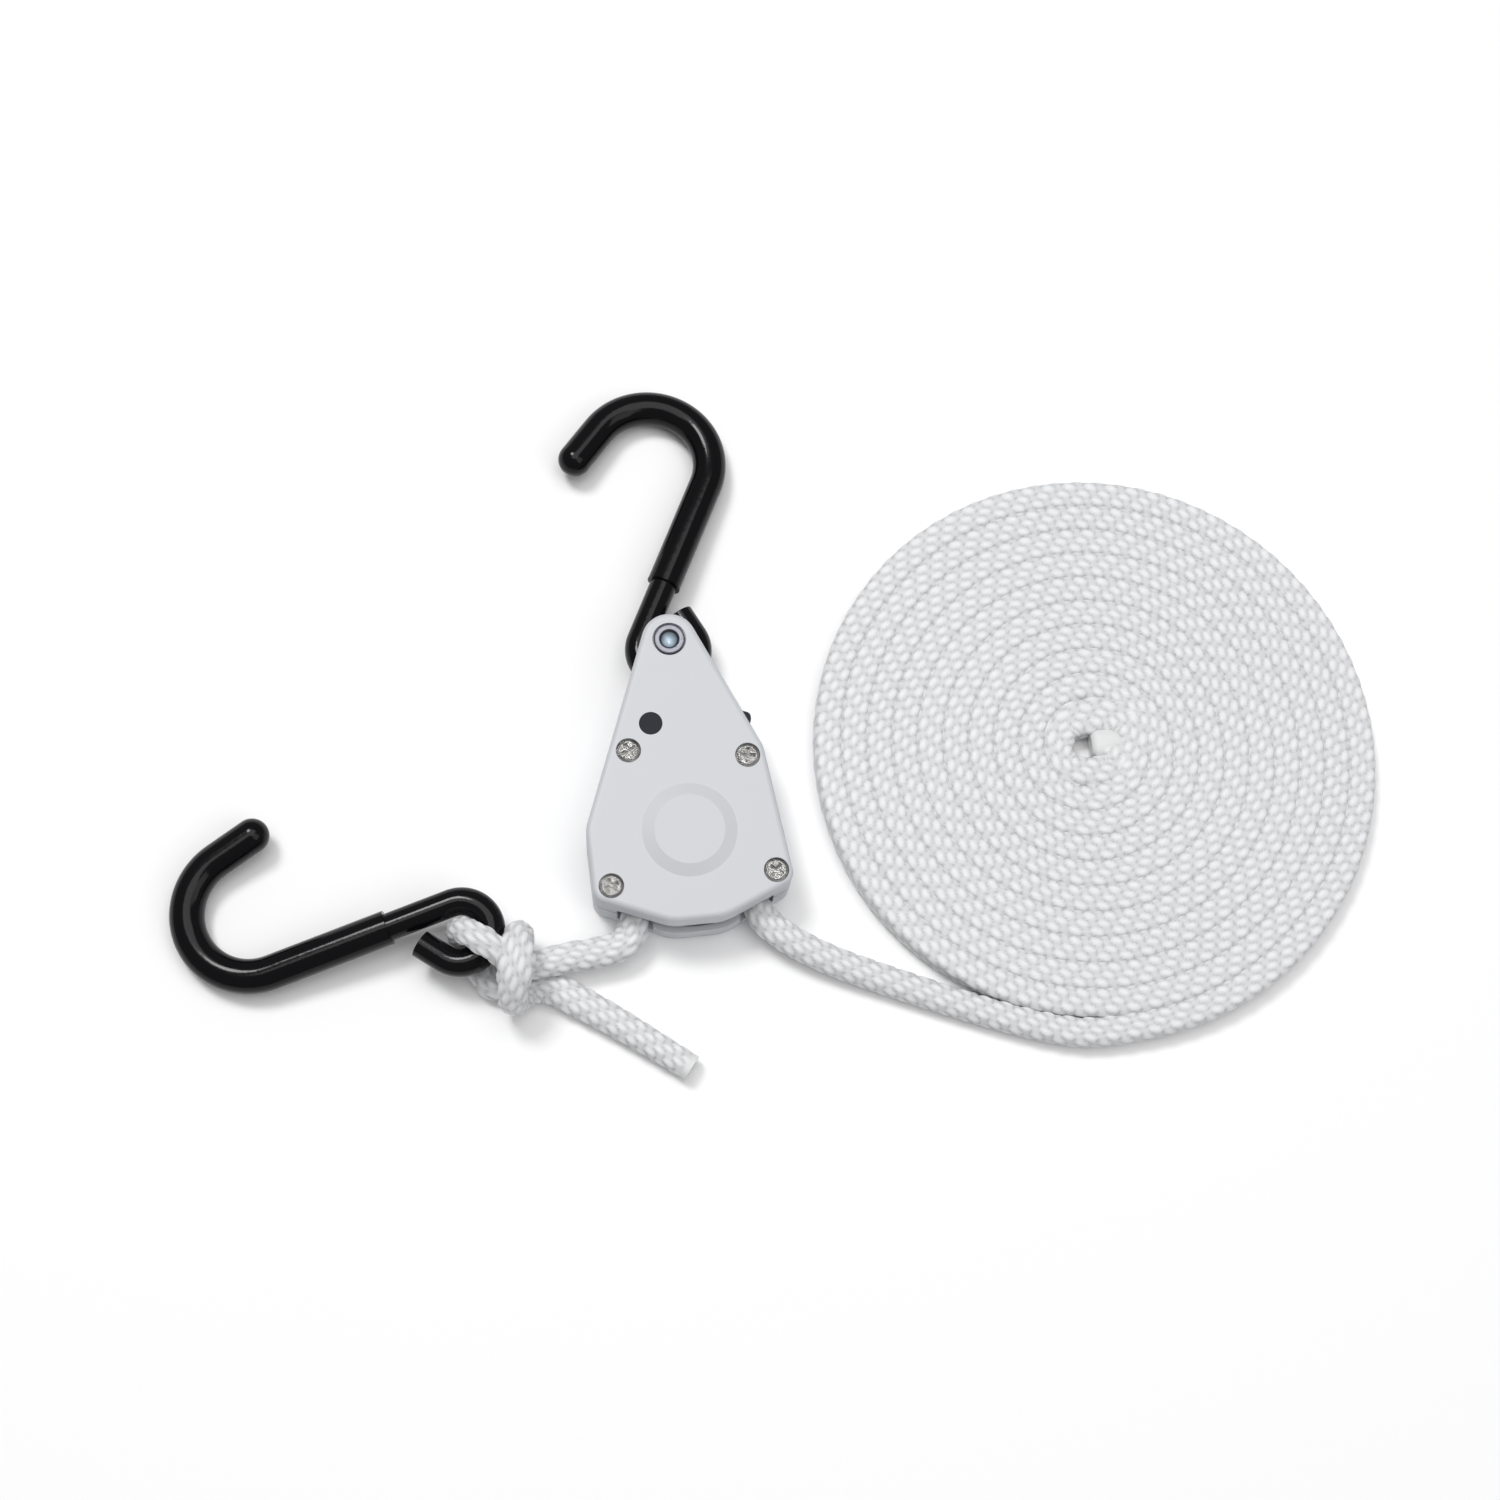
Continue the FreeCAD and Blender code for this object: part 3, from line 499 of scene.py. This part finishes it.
finishes = {
    "case_plastic": finish(
        "case_plastic_satin", grain, 1.0, (0.560, 0.575, 0.600), (0.580, 0.595, 0.620),
        (0.40, 0.46), 0.00004),
    "pulley_plastic": finish(
        "pulley_plastic_grey", grain, 1.2, (0.16, 0.165, 0.17), (0.19, 0.195, 0.20),
        (0.42, 0.5), 0.00005),
    "black_plastic": finish(
        "black_plastic_matt", grain, 1.3, (0.010, 0.010, 0.016), (0.018, 0.018, 0.027),
        (0.45, 0.6), 0.00008, sharp=0.4, shine=0.22),
    "nylon": finish(
        "nylon_natural", grain, 0.8, (0.62, 0.60, 0.54), (0.68, 0.66, 0.60),
        (0.38, 0.45), 0.00003),
    "nickel": finish(
        "nickel_bright", marks, 0.35, (0.36, 0.355, 0.34), (0.70, 0.69, 0.67),
        (0.14, 0.26), 0.00034, metallic=1.0, sharp=0.6),
    "zinc": finish(
        "zinc_blue", marks, 0.8, (0.85, 0.92, 1.0), (1.0, 1.0, 1.0),
        (0.38, 0.50), 0.00006, metallic=1.0, sharp=0.3),
    "steel": finish(
        "steel_plain", marks, 0.9, (0.42, 0.42, 0.42), (0.56, 0.56, 0.55),
        (0.25, 0.4), 0.00006, metallic=1.0),
    "brass": finish(
        "brass_turned", marks, 0.7, (0.60, 0.43, 0.20), (0.74, 0.56, 0.28),
        (0.2, 0.34), 0.00005, metallic=1.0),
    "black_paint": finish(
        "black_paint_gloss", skin, 1.0, (0.003, 0.003, 0.0035), (0.006, 0.006, 0.007),
        (0.09, 0.12), 0.0002, shine=0.2, sharp=0.06),
    "vinyl": finish(
        "vinyl_dipped", skin, 0.6, (0.003, 0.003, 0.0035), (0.005, 0.005, 0.006),
        (0.11, 0.15), 0.0003, shine=0.2, sharp=0.06),
}
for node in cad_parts.values():
    for place in node.material_slots:
        key = place.material.name.split(".")[0]
        if key in finishes:
            place.material = finishes[key]

# %% [markdown]
# The rivet is one piece of zinc-plated steel, and its colour carries painted light and shade
# by rings: a painted highlight on the cone, painted shade on the lip where the cone ends, a grey
# flat and painted shade on the edge. The colour is read from the distance to the rivet's own axis.

# %% Painted light and shade on the rivet's rings
rivet_lo, rivet_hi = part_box("hook_rivet")
rivet_axis = 0.5 * (rivet_lo + rivet_hi)
tree = finishes["zinc"].node_tree
shader = tree.nodes["Principled BSDF"]
plating = shader.inputs["Base Color"].links[0].from_socket
coordinates = add(tree, "ShaderNodeTexCoord")
flat_place = add(tree, "ShaderNodeVectorMath", [(0, coordinates.outputs["Object"])],
                 operation="MULTIPLY_ADD")
flat_place.inputs[1].default_value = (1.0, 1.0, 0.0)
flat_place.inputs[2].default_value = (-rivet_axis.x, -rivet_axis.y, 0.0)
from_axis = add(tree, "ShaderNodeVectorMath", [(0, flat_place.outputs[0])], operation="LENGTH")
# The ramp's 0 to 1 runs over 4 mm from the axis.
ring_place = math_node(tree, "MULTIPLY", from_axis.outputs["Value"], 1 / 0.004)
# Painted light and shade: bright on the cone, dark on the lip, grey on the flat and dark on the edge.
painted_ring_light = add(tree, "ShaderNodeValToRGB", [("Fac", ring_place)])
painted_ring_light_colours = painted_ring_light.color_ramp.elements
painted_ring_light_colours[0].color = (0.30, 0.33, 0.34, 1.0)
painted_ring_light_colours[1].position = 0.84
painted_ring_light_colours[1].color = (0.03, 0.03, 0.04, 1.0)
for position, colour in (
    (0.10, (0.78, 0.82, 0.84)), (0.40, (0.50, 0.55, 0.58)), (0.49, (0.04, 0.045, 0.055)),
    (0.57, (0.22, 0.22, 0.235)), (0.76, (0.24, 0.235, 0.25)),
):
    painted_ring_light_colours.new(position).color = (*colour, 1.0)
# The zinc's own colour times the painted rings of light and shade.
plating_and_painted_light = add(tree, "ShaderNodeVectorMath", [(0, plating), (1, painted_ring_light.outputs["Color"])],
             operation="MULTIPLY")
tree.links.new(plating_and_painted_light.outputs[0], shader.inputs["Base Color"])
print("rivet axis, mm", [round(1000 * v, 2) for v in rivet_axis[:2]])
print("finishes given", {n: o.material_slots[0].material.name for n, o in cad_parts.items()})

# %% Rope yarn
rope_material = bpy.data.materials.new("rope_yarn")
rope_material.use_nodes = True
tree = rope_material.node_tree
shader = tree.nodes["Principled BSDF"]
stitch = add(tree, "ShaderNodeAttribute", attribute_name="stitch")
fused = add(tree, "ShaderNodeAttribute", attribute_name="fused")
braid_uv = add(tree, "ShaderNodeUVMap", uv_map="braid")
threads_in = add(tree, "ShaderNodeGroup", node_tree=yarn)
tree.links.new(braid_uv.outputs["UV"], threads_in.inputs["Vector"])
# Painted shade: the stitch height darkens the colour in the pits between stitches, from 0.54 in a pit to 0.87
# on a stitch, on top of the real pits in the mesh.
painted_pit_shade = add(tree, "ShaderNodeValToRGB", [("Fac", stitch.outputs["Fac"])])
for position, value in ((0.0, 0.54), (0.30, 0.69), (0.60, 0.77), (0.95, 0.87)):
    element = painted_pit_shade.color_ramp.elements[0] if position == 0.0 else painted_pit_shade.color_ramp.elements.new(position)
    element.position, element.color = position, (value * 0.985, value * 0.99, value, 1.0)
painted_pit_shade.color_ramp.elements.remove(painted_pit_shade.color_ramp.elements[-1])
uneven = add(tree, "ShaderNodeMapRange", [("Value", threads_in.outputs["Shade"])],
             From_Min=0.3, From_Max=0.7, To_Min=0.93, To_Max=1.0)
# The painted pit shade times the yarn's own uneven tone.
yarn_colour_and_pit_shade = add(tree, "ShaderNodeVectorMath", [(0, painted_pit_shade.outputs["Color"])], operation="SCALE")
tree.links.new(uneven.outputs[0], yarn_colour_and_pit_shade.inputs["Scale"])
melted_colour = add(tree, "ShaderNodeMix", data_type="RGBA")
tree.links.new(fused.outputs["Fac"], melted_colour.inputs["Factor"])
tree.links.new(yarn_colour_and_pit_shade.outputs[0], melted_colour.inputs["A"])
melted_colour.inputs["B"].default_value = (0.74, 0.75, 0.74, 1.0)
tree.links.new(melted_colour.outputs["Result"], shader.inputs["Base Color"])
rope_gloss = add(tree, "ShaderNodeMapRange", [("Value", fused.outputs["Fac"])], To_Min=0.46, To_Max=0.34)
tree.links.new(rope_gloss.outputs[0], shader.inputs["Roughness"])
relief = add(tree, "ShaderNodeBump", [("Height", threads_in.outputs["Height"])],
             Strength=0.35, Distance=0.00012)
tree.links.new(relief.outputs["Normal"], shader.inputs["Normal"])
for piece in rope_pieces:
    piece.data.materials.append(rope_material)
print("materials", len(bpy.data.materials))

# %% [markdown]
# The hanger lies on a white table. One broad light stands high at the upper left, a wide
# one hangs overhead and a weak one fills in from the lower right. The world is a dim grey, so the
# glossy black hooks stay black and show the lights as streaks.

# %% Table, lights and view
table = bpy.data.objects.new("table", bpy.data.meshes.new("table"))
table_half, table_top = 3, -5e-5
table_corners = [(table_half * x, table_half * y, table_top) for x, y in ((-1, -1), (1, -1), (1, 1), (-1, 1))]
table.data.from_pydata(table_corners, [], [(0, 1, 2, 3)])
white = bpy.data.materials.new("table_white")
white.use_nodes = True
white.node_tree.nodes["Principled BSDF"].inputs["Base Color"].default_value = (0.965, 0.965, 0.965, 1.0)
white.node_tree.nodes["Principled BSDF"].inputs["Roughness"].default_value = 0.7
table.data.materials.append(white)
bpy.context.scene.collection.objects.link(table)
for name, place, size, power in (
    ("key_light", (-0.55, 0.80, 1.80), 0.5, 16.0),
    ("top_light", (0.10, 0.30, 1.90), 1.5, 17.0),
    ("fill_light", (0.95, -0.65, 1.45), 1.1, 5.5),
):
    lamp = bpy.data.lights.new(name, "AREA")
    lamp.energy, lamp.size = power, size
    light = bpy.data.objects.new(name, lamp)
    light.location = place
    light.rotation_euler = Vector(place).to_track_quat("Z", "Y").to_euler()
    bpy.context.scene.collection.objects.link(light)
world = bpy.data.worlds.new("world")
world.use_nodes = True
world.node_tree.nodes["Background"].inputs[0].default_value = (0.22, 0.22, 0.225, 1.0)
bpy.context.scene.world = world
bpy.context.scene.view_settings.view_transform = "Standard"
